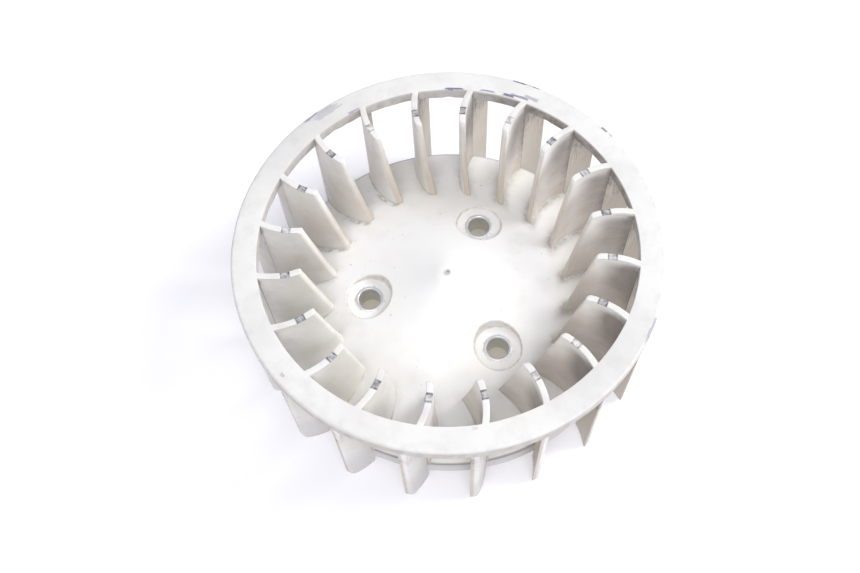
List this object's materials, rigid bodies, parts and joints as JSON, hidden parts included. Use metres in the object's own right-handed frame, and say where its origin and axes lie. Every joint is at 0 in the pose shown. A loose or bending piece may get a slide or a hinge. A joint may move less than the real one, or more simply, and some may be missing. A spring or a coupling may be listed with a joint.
{
  "type": "flywheel cooling fan",
  "caption": "Moulded white centrifugal fan wheel with a dished back plate, curved blades, a shroud ring and steel-sleeved bolt holes.",
  "frame": {"origin": "on the crankshaft axis, in the plane of the blade feet", "axes": "+Z along the crankshaft axis towards the intake side; -Z faces the flywheel"},
  "size_m": [0.12, 0.12, 0.045],
  "materials": {
    "fan_plastic": "satin off-white engineering plastic, mould-textured, lightly stained",
    "sleeve_steel": "bright zinc plated turned steel"
  },
  "bodies": {
    "root": {"back_plate": "fan_plastic", "shroud_ring": "fan_plastic", "blade_01": "fan_plastic", "blade_02": "fan_plastic", "blade_03": "fan_plastic", "blade_04": "fan_plastic", "blade_05": "fan_plastic", "blade_06": "fan_plastic", "blade_07": "fan_plastic", "blade_08": "fan_plastic", "blade_09": "fan_plastic", "blade_10": "fan_plastic", "blade_11": "fan_plastic", "blade_12": "fan_plastic", "blade_13": "fan_plastic", "blade_14": "fan_plastic", "blade_15": "fan_plastic", "blade_16": "fan_plastic", "blade_17": "fan_plastic", "blade_18": "fan_plastic", "blade_19": "fan_plastic", "blade_20": "fan_plastic", "sleeve_1": "sleeve_steel", "sleeve_2": "sleeve_steel", "sleeve_3": "sleeve_steel"}
  },
  "joints": []
}
